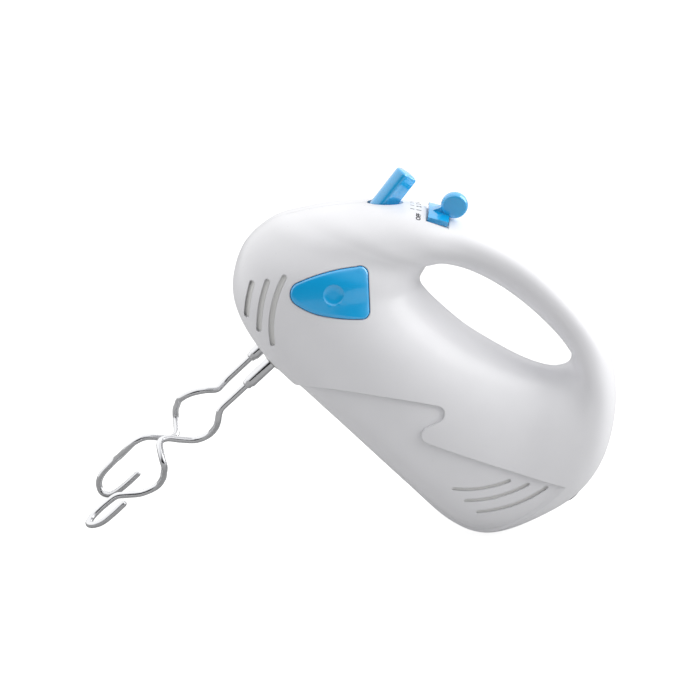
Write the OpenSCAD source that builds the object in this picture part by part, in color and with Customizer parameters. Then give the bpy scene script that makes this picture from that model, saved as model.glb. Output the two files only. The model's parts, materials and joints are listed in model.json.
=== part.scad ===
// Hand mixer with two dough hooks, built as separate pieces.
// Working frame: beater axes vertical, motor axis along X, handle above.
// Every piece is then laid down in the resting pose by one common turn.

/* [Body] */
// half width of the motor housing at the spindles
body_half_w = 40; // [38:0.5:42]
// moulded wall thickness
wall = 2.6; // [2.2:0.1:3]
// depth of the lower side panel below the upper one
panel_step = 1.2; // [0.5:0.1:1.4]

/* [Drive] */
// distance between the two beater axes
spindle_gap = 44; // [43:0.5:45]
// diameter of the beater shanks
shank_d = 5.6; // [5:0.1:6]
// diameter of the hook wire
wire_d = 3; // [2.6:0.1:3.4]

/* [Controls] */
// height of the release button above the body
button_h = 15.5; // [12:0.5:18]
// diameter of the ball knob on the speed lever
knob_d = 12; // [10:0.5:13]
// bore for the power cord
cord_bore_d = 7; // [6:0.5:8]

/* [Hidden] */
$fn = 48;
white = [0.93, 0.93, 0.94];
blue = [0.12, 0.62, 0.90];
steel = [0.78, 0.79, 0.80];
lay = 45;
lean = 2.3;
rest_x = -36.09;
rest_z = 82.36;
sy = spindle_gap / 2;
rb = shank_d / 2;
mz = 32;

// resting pose of pieces given in the spindle frame
module laid() {
  translate([rest_x, 0, rest_z]) rotate([0, lay, 0]) children();
}
// resting pose of pieces given in the body frame, which leans a little
module laid_body() {
  translate([rest_x, 0, rest_z]) rotate([0, lay - lean, 0]) children();
}

// Stations round the handle opening: opening x, z, outline x, z, half width,
// crown position, then the roundness of the inner and of the outer flank.
wf = body_half_w;
stations = [
  [23, 74, -42, 41, 33, 0.52, 2.2, 2, 2.4, 2.4],
  [24, 70.5, -42, 23, wf - 3, 0.54, 2.2, 2, 2.6, 2.6],
  [27, 68, -31, 7, wf - 1, 0.58, 2.2, 2, 3, 3.2],
  [33, 67, -8, 0, wf, 0.62, 2.2, 2, 4, 4.5],
  [43, 67, 22, 0, wf, 0.66, 2.2, 2, 5, 5.5],
  [56, 68, 54, 0, wf - 2, 0.68, 2.2, 2, 5, 5.5],
  [70, 71, 84, 0, wf - 5, 0.68, 2.2, 2, 5, 5.5],
  [84, 75, 111, 0.5, 31, 0.66, 2.2, 2, 4.4, 5],
  [94, 79.5, 129, 7, 27, 0.62, 2.2, 2, 3.4, 4],
  [99.5, 84, 141, 25, 24, 0.56, 2.2, 2, 2.8, 3],
  [101.5, 89, 147.5, 48, 21, 0.54, 2.2, 2, 2.4, 2.6],
  [98.5, 92.5, 143, 70.5, 19, 0.52, 2.2, 2, 2.3, 2.4],
  [91, 94, 127, 93, 17.5, 0.5, 2.1, 2, 2.2, 2.2],
  [80, 94.5, 105, 107.5, 16, 0.5, 2.1, 2, 2.2, 2.2],
  [66, 94, 76, 112.5, 15.5, 0.5, 2.1, 2, 2.2, 2.2],
  [52, 92, 46, 110.5, 15.5, 0.5, 2.1, 2, 2.2, 2.2],
  [38, 88, 17, 101, 18, 0.5, 2.1, 2, 2.3, 2.2],
  [28, 83, -6, 88, 24, 0.5, 2.1, 2, 2.3, 2.2],
  [24, 79, -25, 68, 29, 0.5, 2.2, 2, 2.4, 2.3],
  [22.5, 76.5, -35, 54.5, 31, 0.5, 2.2, 2, 2.4, 2.3]];
n_st = len(stations);
sub = 3;
n_phi = 12;

// smooth closed curve through the stations
function ring(p, i, u) =
  let (a = p[(i + n_st - 1) % n_st], b = p[i], c = p[(i + 1) % n_st], d = p[(i + 2) % n_st])
  0.5 * (2 * b + (c - a) * u + (2 * a - 5 * b + 4 * c - d) * u * u
    + (3 * b - a - 3 * c + d) * u * u * u);
rows = [for (i = [0:n_st - 1]) for (j = [0:sub - 1]) ring(stations, i, j / sub)];

// one point of the shell: row r, angle f round the section, depth d below the skin
function skin(r, f, d) =
  let (dx = r[2] - r[0], dz = r[3] - r[1], h = sqrt(dx * dx + dz * dz), e = d / h,
    c = abs(cos(f)), s = abs(sin(f)),
    t = f <= 90 ? r[5] * (1 - pow(c, 2 / r[6])) : r[5] + (1 - r[5]) * pow(c, 2 / r[8]),
    y = (r[4] - d) * (f <= 90 ? pow(s, 2 / r[7]) : pow(s, 2 / r[9])),
    q = e + (1 - 2 * e) * t)
  [r[0] + dx * q, y, r[1] + dz * q];

// half shell between two depths, on the +Y side
module half_shell(d0, d1) {
  nr = len(rows);
  nc = 2 * (n_phi + 1);
  pts = [for (r = rows) each concat(
    [for (k = [0:n_phi]) skin(r, 180 * k / n_phi, d0)],
    [for (k = [n_phi:-1:0]) skin(r, 180 * k / n_phi, d1)])];
  quads = [for (i = [0:nr - 1]) for (k = [0:nc - 1])
    let (i2 = (i + 1) % nr, k2 = (k + 1) % nc)
    [i * nc + k, i * nc + k2, i2 * nc + k2, i2 * nc + k]];
  polyhedron(points = pts, faces = [for (q = quads) each
    [[q[0], q[1], q[2]], [q[0], q[2], q[3]]]], convexity = 8);
}
// solid half body down to a depth, on the +Y side
module half_body(d) {
  nr = len(rows);
  nc = n_phi + 1;
  pts = [for (r = rows) for (k = [0:n_phi]) skin(r, 180 * k / n_phi, d)];
  side = [for (i = [0:nr - 1]) for (k = [0:nc - 2])
    let (i2 = (i + 1) % nr) each
    [[i * nc + k, i * nc + k + 1, i2 * nc + k + 1],
     [i * nc + k, i2 * nc + k + 1, i2 * nc + k]]];
  flat = [for (i = [0:nr - 1]) let (i2 = (i + 1) % nr) each
    [[i * nc, i2 * nc, i2 * nc + nc - 1],
     [i * nc, i2 * nc + nc - 1, i * nc + nc - 1]]];
  polyhedron(points = pts, faces = concat(side, flat), convexity = 8);
}

// badge outline, rounded triangle
module badge_2d(grow) {
  offset(delta = grow - 0.35)
    polygon([[-18, 30.8], [-19.3, 33], [-19.5, 36], [-17, 42.5], [-11.8, 51.1], [-5.6, 58.7],
      [-3.2, 60.9], [-0.7, 61.2], [1.4, 60], [9.3, 53], [13.2, 49.2], [14, 46.5], [12.7, 44.3],
      [5.2, 38.2], [-0.2, 34.4], [-7.4, 30.6], [-13.4, 29.2], [-16.2, 29.5]]);
}
// lower side panel, bounded by the zigzag line
module panel_2d() {
  polygon([[5, -12], [14, 3.7], [27.6, 15], [46, 27.6], [61, 37.2], [65, 39], [68, 38.9],
    [69.8, 37.4], [70.4, 34.9], [69.3, 31.6], [67.6, 28.2], [67.5, 25.7], [68.9, 23.7],
    [71.5, 22.9], [74.7, 23.5], [84, 26.9], [97.7, 32.2], [111.6, 37.7], [124.8, 43.9],
    [142, 50.6], [142, -22], [5, -22]]);
}
// one curved vent slot as a chain of round spots
module vent_2d(p, q, bow, w) {
  n = [-(q[1] - p[1]), q[0] - p[0]] / norm(q - p);
  m = [for (t = [0:0.25:1]) p + (q - p) * t + n * bow * 4 * t * (1 - t)];
  for (i = [0:3]) hull() {
    translate(m[i]) circle(d = w, $fn = 12);
    translate(m[i + 1]) circle(d = w, $fn = 12);
  }
}
nose_vents = [[[-31.8, 21.4], [-23.8, 9.5], -0.4, 2.2], [[-28.2, 27.2], [-16.3, 9.6], -0.85, 2.2],
  [[-24.6, 34.2], [-8, 9.3], -2.3, 2.2]];
heel_vents = [[[98, 15.3], [114.4, 34.2], -1.5, 1.6], [[106.7, 14.9], [122.5, 38.4], -2.4, 1.6],
  [[114.4, 14.1], [130, 43], -2.6, 1.6]];
module vents_2d() {
  for (v = concat(nose_vents, heel_vents)) vent_2d(v[0], v[1], v[2], v[3]);
}

// speed lever frame: origin on the swing axis, X along the crown, Z outward
crown = 29.5;
lever_at = [24.3, 0, 70.6];
seat_r = 30.2;
off_a = 13;
module lever_frame() {
  translate(lever_at) rotate([0, -crown, 0]) children();
}
// ring sector round the swing axis between two angles, X from x0 to x1
module sector(r0, r1, a0, a1, x0, x1) {
  translate([x0, 0, 0]) rotate([a0, 0, 0]) rotate([90, 0, 90])
    rotate([0, 0, 90]) rotate_extrude_x(r0, r1, a1 - a0, x1 - x0);
}
module rotate_extrude_x(r0, r1, a, h) {
  rotate_extrude(angle = a, $fn = 96) translate([r0, 0]) square([r1 - r0, h]);
}

// release button frame: origin on the crown, Z along its travel
button_at = [-10.8, 0, 84.6];
button_lean = -6.7;
module button_frame() {
  translate(button_at) rotate([0, button_lean, 0]) children();
}

// housing screw places: x, z, head seat, tip
screws = [[-24.5, 47, 14, -10], [40, 60.3, 12, -10], [85.5, 6.3, 12, -10],
  [126, 64, 9, -8], [52, 101.3, 6, -8], [110, 96, 7, -8]];

module along_y(p) {
  translate([p[0], 0, p[1]]) rotate([-90, 0, 0]) children();
}

// cuts shared by both halves
module shell_cuts(side) {
  lever_frame() sector(seat_r, seat_r + 9, -30, 30, -5.8, 4.8);
  lever_frame() sector(24, seat_r + 4, -17, 17, -2.4, 2.4);
  button_frame() translate([0, 0, -14]) cylinder(r = 6.4, h = 30, $fn = 40);
  translate([132, 0, 46]) rotate([0, 90, 0]) cylinder(r = 6.6, h = 30, $fn = 40);
}
module half_cuts() {
  // side vents, badge recess and lower panel, on the +Y side
  rotate([90, 0, 0]) mirror([0, 0, 1]) translate([0, 0, 8]) linear_extrude(40) vents_2d();
  difference() {
    rotate([90, 0, 0]) mirror([0, 0, 1]) translate([0, 0, 8]) linear_extrude(40) badge_2d(0.35);
    half_body(1.5);
  }
  difference() {
    rotate([90, 0, 0]) mirror([0, 0, 1]) translate([0, 0, 20]) linear_extrude(30) panel_2d();
    half_body(panel_step);
  }
}
module half_ribs(yin) {
  // ribs that hold the stator and pads that carry the gearbox frame
  intersection() {
    half_body(1);
    rotate([0, lean, 0]) union() {
      translate([48, 22.2, 22]) cube([2, 30, 20]);
      translate([66, 22.2, 22]) cube([2, 30, 20]);
      translate([92, 18.4, 24]) cube([3, 30, 16]);
      translate([-4, 33.2, 8]) cube([8, 20, 5]);
    }
  }
}
module left_half_plus() {
  difference() {
    union() {
      half_shell(0, wall);
      half_ribs();
      intersection() {
        half_body(1);
        for (s = screws) along_y(s) translate([0, 0, 0.2]) cylinder(r = 3.6, h = 60, $fn = 24);
      }
    }
    half_cuts();
    shell_cuts();
    for (s = screws) along_y(s) translate([0, 0, -1]) cylinder(r = 1.5, h = 1 - s[3], $fn = 24);
    rotate([0, lean, 0]) translate([0, sy, -8]) cylinder(r = 7.2, h = 16, $fn = 40);
    translate([40, -14, -2]) cube([34, 28, 2.8]);
  }
}
module right_half_plus() {
  difference() {
    union() {
      half_shell(0, wall);
      half_ribs();
      intersection() {
        half_body(1);
        for (s = screws) along_y(s) cylinder(r = 4.4, h = 60, $fn = 24);
      }
    }
    half_cuts();
    shell_cuts();
    for (s = screws) along_y(s) translate([0, 0, -1]) cylinder(r = 1.7, h = 60, $fn = 24);
    for (s = screws) along_y(s) translate([0, 0, s[2]]) cylinder(r = 3.3, h = 60, $fn = 24);
    rotate([0, lean, 0]) translate([0, sy, -8]) cylinder(r = 7.2, h = 16, $fn = 40);
    translate([40, -14, -2]) cube([34, 28, 2.8]);
  }
}
module housing_left() {
  color(white) laid_body() resize([0, 0, 0]) mirror([0, 1, 0]) left_half_plus();
}
module housing_right() {
  color(white) laid_body() resize([0, 0, 0]) right_half_plus();
}
module housing_screws() {
  color(steel) laid_body() for (s = screws) along_y(s) {
    translate([0, 0, s[2]]) cylinder(r = 3, h = 2.2);
    translate([0, 0, s[3]]) cylinder(r = 1.45, h = s[2] - s[3]);
  }
}
module badge_plus() {
  difference() {
    intersection() {
      rotate([90, 0, 0]) mirror([0, 0, 1]) translate([0, 0, 8]) linear_extrude(40) badge_2d(0);
      half_body(-0.5);
    }
    half_body(1.45);
  }
}
module badge_left() {
  color(blue) laid_body() resize([0, 0, 0]) mirror([0, 1, 0]) badge_plus();
}
module badge_right() {
  color(blue) laid_body() resize([0, 0, 0]) badge_plus();
}
module rating_plate() {
  color(steel) laid_body() translate([40.5, -13.5, -0.1]) cube([33, 27, 0.9]);
}
module cord_gland() {
  color([0.2, 0.2, 0.22]) laid_body() translate([138, 0, 46]) rotate([0, 90, 0])
    rotate_extrude() translate([cord_bore_d / 2, 0]) square([6.5 - cord_bore_d / 2, 10]);
}
module cord_clamp() {
  color(white) laid_body() difference() {
    translate([126, -9, 51]) cube([8, 18, 3]);
    for (y = [-6, 6]) translate([130, y, 50]) cylinder(r = 1.55, h = 5);
  }
}
module clamp_screws() {
  color(steel) laid_body() for (y = [-6, 6]) translate([130, y, 0]) {
    translate([0, 0, 54]) cylinder(r = 2.6, h = 1.8);
    translate([0, 0, 44]) cylinder(r = 1.5, h = 10);
  }
}

// dust screens behind the vent slots
module vent_screens() {
  color([0.88, 0.88, 0.86]) laid_body() for (m = [0, 1]) mirror([0, m, 0]) resize([0, 0, 0])
    intersection() {
      difference() {
        half_shell(wall - 0.5, wall + 1);
        half_shell(0, wall);
      }
      rotate([90, 0, 0]) mirror([0, 0, 1]) translate([0, 0, 8]) linear_extrude(40) {
        polygon([[-34.5, 21], [-25, 7], [-7, 6.5], [-5, 10], [-20, 24], [-23, 37.5], [-28, 33]]);
        polygon([[94.5, 14.5], [97, 11.5], [116, 11], [129, 25], [133, 43], [129, 46],
          [112.5, 37.5]]);
      }
    }
}

// controls
module ejector_button() {
  color(blue) laid_body() button_frame() {
    difference() {
      union() {
        translate([0, 0, -20]) cylinder(r = 5.3, h = 19 + button_h);
        translate([0, 0, button_h - 1]) cylinder(r1 = 5.3, r2 = 4.5, h = 1);
      }
      rotate([0, 0, -50]) translate([3.6, -10, -14]) cube([10, 20, 20 + button_h]);
    }
    translate([0, 0, -22]) cylinder(r = 3, h = 2);
    translate([0, 0, -22]) sphere(r = 3);
  }
}
module ejector_fork() {
  color(white) laid() {
    difference() {
      union() {
        translate([-16, -7, 56.2]) cube([12, 14, 3]);
        translate([-6, -sy, 56.2]) cube([6, 2 * sy, 3]);
        for (s = [-1, 1]) translate([0, s * sy, 56.2]) cylinder(r = 4.5, h = 3);
      }
      for (s = [-1, 1]) translate([0, s * sy, 56]) cylinder(r = 1, h = 4);
    }
  }
}
module push_pin(s) {
  laid() translate([0, s * sy, 24]) cylinder(r = rb, h = 32.1);
}
module push_pin_left() { color(steel) push_pin(-1); }
module push_pin_right() { color(steel) push_pin(1); }

// round rod along a list of points, with sides round the section
function unit(v) = v / norm(v);
function tangent(p, i) = unit(p[min(i + 1, len(p) - 1)] - p[max(i - 1, 0)]);
function flatten(v, t) = unit(v - (v * t) * t);
function frames(p, i, v) = i >= len(p) ? [] :
  let (w = flatten(v, tangent(p, i))) concat([w], frames(p, i + 1, w));
module rod(p, r, k) {
  n = len(p);
  f = frames(p, 0, [0.1, 1, 0.05]);
  pts = [for (i = [0:n - 1]) let (t = tangent(p, i), b = cross(t, f[i]))
    for (j = [0:k - 1]) p[i] + r * (cos(360 * j / k) * f[i] + sin(360 * j / k) * b)];
  side = [for (i = [0:n - 2]) for (j = [0:k - 1]) let (j2 = (j + 1) % k) each
    [[i * k + j, (i + 1) * k + j, (i + 1) * k + j2], [i * k + j, (i + 1) * k + j2, i * k + j2]]];
  a = [for (j = [0:k - 1]) j];
  b = [for (j = [k - 1:-1:0]) (n - 1) * k + j];
  polyhedron(points = pts, faces = concat(side, [a, b]), convexity = 8);
}
function coil(r, h, turns, m) = [for (i = [0:m]) [r * cos(360 * turns * i / m),
  r * sin(360 * turns * i / m), h * i / m]];
module ejector_spring() {
  color(steel) laid() translate([-10.5, 0, 43.8]) rod(coil(4, 11.8, 5, 60), 0.45, 6);
}

module speed_lever() {
  color(blue) laid_body() lever_frame() rotate([off_a, 0, 0]) {
    sector(seat_r + 0.4, seat_r + 3, -14, 14, -5.2, 4.2);
    sector(26.4, seat_r + 1, -2.5, 2.5, -1.8, 1.8);
    rotate([90, 0, 0]) translate([0, 0, -1.6]) linear_extrude(3.2)
      polygon([[-5, 31.5], [1, 31.5], [8, 34], [4, 40]]);
    translate([5.3, 0, 37.4]) rotate([90, 0, 0]) rotate_extrude()
      polygon([[0, -2.6], [knob_d / 2 - 1.6, -2.6], [knob_d / 2 - 0.4, -1.6], [knob_d / 2, 0],
        [knob_d / 2 - 0.4, 1.6], [knob_d / 2 - 1.6, 2.6], [0, 2.6]]);
  }
}
module lever_carrier() {
  color([0.85, 0.85, 0.83]) laid_body() lever_frame() rotate([off_a, 0, 0]) {
    sector(24.4, 26.4, -16, 16, -9, 5);
    sector(17.6, 24.6, -4, 4, -9, -6);
  }
}
module wiper_contact() {
  color([0.80, 0.50, 0.25]) laid_body() lever_frame() rotate([off_a, 0, 0]) {
    sector(17.1, 17.6, -4, 4, -9, -6);
  }
}
module switch_body() {
  color([0.15, 0.15, 0.16]) laid_body() lever_frame() {
    difference() {
      translate([-16, -11, 5]) cube([11, 22, 10.5]);
      translate([-15, -9.5, 4]) cube([9, 19, 9.5]);
    }
  }
}
module switch_contacts() {
  color([0.80, 0.50, 0.25]) laid_body() lever_frame() {
    for (i = [0:4]) translate([-14, -8 + 3.5 * i, 15.5]) cube([7, 2, 0.4]);
  }
}

// gearbox
module gearbox_frame() {
  color([0.70, 0.71, 0.72]) laid() difference() {
    union() {
      for (s = [-1, 1]) translate([0, s * sy, 8]) cylinder(r = 10.8, h = 5);
      translate([-8, -sy, 8]) cube([16, 2 * sy, 5]);
      translate([-20, -12, 8]) cube([41, 24, 5]);
      translate([-20, -8, 8]) cube([3.5, 16, 34]);
      translate([17.5, -14, 8]) cube([3.5, 28, 34]);
    }
    for (s = [-1, 1]) translate([0, s * sy, 7]) cylinder(r = 8, h = 8);
    translate([-21, 0, mz]) rotate([0, 90, 0]) cylinder(r = 5, h = 43);
    translate([0, 0, mz]) rotate([0, 90, 0]) cylinder(r = 11, h = 17);
  }
}
module gearbox_cover() {
  color([0.70, 0.71, 0.72]) laid() difference() {
    union() {
      for (s = [-1, 1]) translate([0, s * sy, 42]) cylinder(r = 9.8, h = 5);
      translate([-7, -sy, 42]) cube([14, 2 * sy, 5]);
      translate([-20, -8, 42]) cube([41, 16, 5]);
    }
    for (s = [-1, 1]) translate([0, s * sy, 41]) cylinder(r = 8, h = 8);
    translate([-10.5, 0, 43.3]) cylinder(r = 5.2, h = 8);
    for (x = [-18.2, 19.2]) for (y = [-5.5, 5.5]) translate([x, y, 41]) cylinder(r = 1.3, h = 8);
  }
}
module cover_screws() {
  color(steel) laid() for (x = [-18.2, 19.2]) for (y = [-5.5, 5.5]) translate([x, y, 0]) {
    translate([0, 0, 47]) cylinder(r = 2, h = 1.6);
    translate([0, 0, 42.02]) cylinder(r = 1.25, h = 5);
  }
}
module bush(r, h, ri) {
  difference() {
    cylinder(r = r, h = h);
    translate([0, 0, -1]) cylinder(r = ri, h = h + 2);
  }
}
module spindle_bushes() {
  color([0.72, 0.55, 0.30]) laid() for (s = [-1, 1]) for (z = [7.6, 41.8])
    translate([0, s * sy, z]) bush(8, 6, 5.56);
}
module shaft_bushes() {
  color([0.72, 0.55, 0.30]) laid() for (x = [-20.6, 16.6, 91.4])
    translate([x, 0, mz]) rotate([0, 90, 0]) bush(5, 4.8, 2.56);
}
module spindle_socket(s) {
  laid() translate([0, s * sy, 0]) difference() {
    cylinder(r = 5.5, h = 48.3);
    translate([0, 0, -1]) cylinder(r = rb + 0.05, h = 60);
    translate([-6, -0.8, -1]) cube([12, 1.6, 8]);
  }
}
module spindle_socket_left() { color(steel) spindle_socket(-1); }
module spindle_socket_right() { color(steel) spindle_socket(1); }
teeth = 26;
module wheel(s, turn) {
  laid() translate([0, s * sy, 28]) difference() {
    union() {
      translate([0, 0, -3]) cylinder(r = 8, h = 14);
      linear_extrude(8) difference() {
        circle(r = 13.8, $fn = 104);
        for (i = [0:teeth - 1]) rotate(turn + (i + 0.5) * 360 / teeth)
          polygon([[11.7, -0.75], [11.7, 0.75], [14.2, 1.25], [14.2, -1.25]]);
      }
    }
    translate([0, 0, -4]) cylinder(r = 5.5, h = 16);
  }
}
module worm_wheel_left() { color([0.90, 0.88, 0.80]) wheel(-1, 90); }
module worm_wheel_right() { color([0.90, 0.88, 0.80]) wheel(1, -90 + 180 / teeth); }

// motor, all on the X axis at height mz
module on_axis(x) {
  laid() translate([x, 0, mz]) rotate([0, 90, 0]) children();
}
module motor_shaft() {
  color(steel) on_axis(-22) cylinder(r = 2.5, h = 121);
}
// one start thread, its crest on the +Y side at x = 0
lead = 3.14159;
module worm_gear() {
  n = 24;
  turns = 7;
  pts = [for (i = [0:n * turns]) let (a = 360 * i / n, x = lead * (i / n - turns / 2 - 0.5),
    c = cos(a), s = sin(a))
    each [[x - 0.62, 7.4 * c, 7.4 * s], [x - 0.3, 9.7 * c, 9.7 * s],
      [x + 0.3, 9.7 * c, 9.7 * s], [x + 0.62, 7.4 * c, 7.4 * s]]];
  m = n * turns;
  side = [for (i = [0:m - 1]) for (k = [0:3]) let (k2 = (k + 1) % 4) each
    [[4 * i + k, 4 * i + k2, 4 * i + 4 + k2], [4 * i + k, 4 * i + 4 + k2, 4 * i + 4 + k]]];
  color([0.85, 0.80, 0.60]) laid() translate([0, 0, mz]) resize([0, 0, 0]) difference() {
    union() {
      polyhedron(points = pts, faces = concat(side, [[3, 2, 1, 0],
        [4 * m, 4 * m + 1, 4 * m + 2, 4 * m + 3]]), convexity = 8);
      translate([-13.5, 0, 0]) rotate([0, 90, 0]) cylinder(r = 7.8, h = 27, $fn = 48);
    }
    translate([-20, 0, 0]) rotate([0, 90, 0]) cylinder(r = 2.52, h = 40, $fn = 32);
  }
}
module cooling_fan() {
  color([0.15, 0.15, 0.16]) on_axis(25) {
    bush(6, 8, 2.5);
    difference() {
      cylinder(r = 23, h = 1.4);
      translate([0, 0, -1]) cylinder(r = 5.5, h = 4);
    }
    for (i = [0:10]) rotate(i * 360 / 11) translate([8, -0.6, 1]) rotate(14) cube([14.5, 1.2, 6.5]);
  }
}
module armature_core() {
  color([0.45, 0.46, 0.48]) on_axis(44) difference() {
    cylinder(r = 12.5, h = 28);
    translate([0, 0, -1]) cylinder(r = 2.5, h = 30);
    for (i = [0:11]) rotate(i * 30) translate([11, 0, -1]) {
      translate([-2.6, 0, 0]) cylinder(r = 1.5, h = 30, $fn = 20);
      translate([-1, -0.5, 0]) cube([4, 1, 30]);
    }
  }
}
module armature_windings() {
  color([0.75, 0.38, 0.15]) {
    on_axis(38.5) ring_pad(5.5);
    on_axis(72) ring_pad(5.5);
  }
}
module ring_pad(h) {
  rotate_extrude() polygon([[2.5, 0.4], [7, 0.4], [10, 1.6], [10.6, 3], [10.6, h], [2.5, h]]);
}
module commutator() {
  color([0.80, 0.50, 0.25]) on_axis(79.5) difference() {
    cylinder(r = 7, h = 10);
    translate([0, 0, -1]) cylinder(r = 2.5, h = 12);
    for (i = [0:11]) rotate(i * 30) translate([5.6, -0.2, -1]) cube([3, 0.4, 12]);
  }
}
module stator_core() {
  color([0.45, 0.46, 0.48]) laid() translate([44, 0, mz]) difference() {
    translate([0, -22, -19]) cube([28, 44, 38]);
    translate([-1, 0, 0]) rotate([0, 90, 0]) cylinder(r = 13.1, h = 30);
    for (s = [-1, 1]) translate([-1, s * 15 - 2.9, -8.8]) cube([30, 5.8, 17.6]);
  }
}
module field_coils() {
  color([0.75, 0.38, 0.15]) laid() for (s = [0, 180]) translate([0, 0, mz]) rotate([s, 0, 0]) {
    for (x = [39, 72.1]) intersection() {
      translate([x, 0, 0]) rotate([0, 90, 0]) difference() {
        cylinder(r = 17.6, h = 4.9);
        translate([0, 0, -1]) cylinder(r = 13.3, h = 7);
      }
      translate([x - 1, -20, 0.3]) cube([7, 40, 20]);
    }
    for (y = [-17.6, 13.3]) translate([43.8, y, 0.3]) cube([28.4, 4.3, 8.2]);
  }
}
module motor_end_frame() {
  color([0.20, 0.20, 0.21]) laid() translate([0, 0, mz]) difference() {
    union() {
      translate([92, -18, -17]) cube([3.5, 36, 34]);
      for (y = [-16, 16]) for (z = [-15, 15]) translate([72, y, z]) rotate([0, 90, 0])
        cylinder(r = 2, h = 20);
      for (s = [-1, 1]) translate([80.5, s * 14.5 - 5.5, -4.6]) cube([11.6, 11, 9.2]);
    }
    translate([80, 0, 0]) rotate([0, 90, 0]) cylinder(r = 5, h = 20);
    for (s = [-1, 1]) translate([81.4, s * 14.5 - 6, -3.5]) cube([7, 12, 7]);
  }
}
module brush_holders() {
  color([0.80, 0.65, 0.30]) laid() translate([0, 0, mz]) for (s = [-1, 1]) difference() {
    translate([81.4, s * 14 - 6, -3.5]) cube([7, 12, 7]);
    translate([82.4, s * 14 - 7 - 1.8 * s, -2.5]) cube([5, 14, 5]);
  }
}
module carbon_brushes() {
  color([0.10, 0.10, 0.11]) laid() translate([0, 0, mz]) for (s = [-1, 1])
    translate([82.4, s * 10.7 - 3.6, -2.5]) cube([5, 7.2, 5]);
}
module brush_springs() {
  color(steel) laid() translate([84.9, 0, mz]) for (s = [-1, 1])
    translate([0, s * 14.65, 0]) rotate([-90 * s, 0, 0]) rod(coil(1.7, 4.15, 4, 40), 0.25, 5);
}
module circuit_board() {
  color([0.10, 0.40, 0.20]) laid() translate([103, -0.8, 24]) cube([18, 1.6, 22]);
}
module capacitor() {
  color([0.85, 0.70, 0.20]) laid() translate([107, -9.8, 30]) cube([10, 9, 7]);
}
module diode() {
  color([0.10, 0.10, 0.11]) laid() translate([112, -2.3, 41]) rotate([0, 90, 0])
    translate([0, 0, -3]) cylinder(r = 1.5, h = 6);
}
module lead_wires() {
  color([0.75, 0.10, 0.10]) laid() {
    rod([[104, 2, 40], [98, 6, 51.5], [80, 9, 53.5], [50, 9, 53.6], [28, 9, 54.5], [16, 6, 60]], 0.8, 6);
    rod([[104, -2, 42], [99, -5, 51], [91, -9, 51.8], [87, -11, 46], [85, -12, 38]], 0.8, 6);
  }
}

// beaters: path of the hook wire below its shank, turned about the beater axis
hook_path = [[0, 0, 0], [0, 0, 8], [0, 0, 15], [1, 0, 18], [3.5, -0.5, 21.5], [5.6, -4.5, 25.5],
  [6.5, -8, 31], [4.5, -9, 37], [-1, -7, 41.5], [-6, -5, 45], [-7, -2, 48], [-2, 2.2, 51],
  [1.5, 2.6, 53], [4.2, -1.5, 56.5], [6.8, -7, 60.5], [8, -9.5, 66], [5.5, -9, 73],
  [1, -8.2, 78.5], [-1.7, -7.9, 82], [-2.4, -7.6, 87], [-2.7, -7, 92], [-2.8, -5, 96],
  [-2.4, -1, 98.2], [-1, 2.2, 96], [0.6, 3.4, 91.5], [1, 3.8, 85], [1, 3.8, 78.5]];
function line(p, m) = let (n = len(p)) [for (i = [0:n - 2]) for (j = [0:m - 1])
  let (a = p[max(i - 1, 0)], b = p[i], c = p[i + 1], d = p[min(i + 2, n - 1)], u = j / m)
  0.5 * (2 * b + (c - a) * u + (2 * a - 5 * b + 4 * c - d) * u * u
    + (3 * b - a - 3 * c + d) * u * u * u)];
hook_line = concat(line(hook_path, 3), [hook_path[len(hook_path) - 1]]);
module shank(s) {
  laid() translate([0, s * sy, 0]) {
    translate([0, 0, -16]) cylinder(r = rb, h = 39.95);
    translate([-4, -0.6, 2]) cube([8, 1.2, 4]);
  }
}
module hook_shank_left() { color(steel) shank(-1); }
module hook_shank_right() { color(steel) shank(1); }
module dough_hook_left() {
  color(steel) laid() translate([0, -sy, -16])
    rod([for (p = hook_line) [p[0], -p[1], -p[2]]], wire_d / 2, 8);
}
module dough_hook_right() {
  color(steel) laid() translate([0, sy, -16])
    rod([for (p = hook_line) [p[1], -p[0], -p[2]]], wire_d / 2, 8);
}

housing_left();
housing_right();
housing_screws();
badge_left();
badge_right();
rating_plate();
cord_gland();
cord_clamp();
clamp_screws();
vent_screens();
ejector_button();
ejector_fork();
ejector_spring();
push_pin_left();
push_pin_right();
speed_lever();
lever_carrier();
wiper_contact();
switch_body();
switch_contacts();
gearbox_frame();
gearbox_cover();
cover_screws();
spindle_bushes();
shaft_bushes();
spindle_socket_left();
spindle_socket_right();
worm_wheel_left();
worm_wheel_right();
motor_shaft();
worm_gear();
cooling_fan();
armature_core();
armature_windings();
commutator();
stator_core();
field_coils();
motor_end_frame();
brush_holders();
carbon_brushes();
brush_springs();
circuit_board();
capacitor();
diode();
lead_wires();
hook_shank_left();
hook_shank_right();
dough_hook_left();
dough_hook_right();
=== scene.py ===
# %% [markdown]
# # A hand mixer with two dough hooks
# The mixer is a white two-part housing with a loop handle, a blue release button, a blue
# speed lever, a blue badge on each side and two bent wire hooks. The machine inside was
# built beforehand as plain solids. This file loads them, gives every piece its finish,
# and makes the pieces that show again with finer surfaces.

# %% Load the frame
import json
from math import cos, pi, radians, sin

import bmesh
import bpy
import numpy as np
from mathutils import Matrix, Vector
from mathutils.bvhtree import BVHTree


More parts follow.
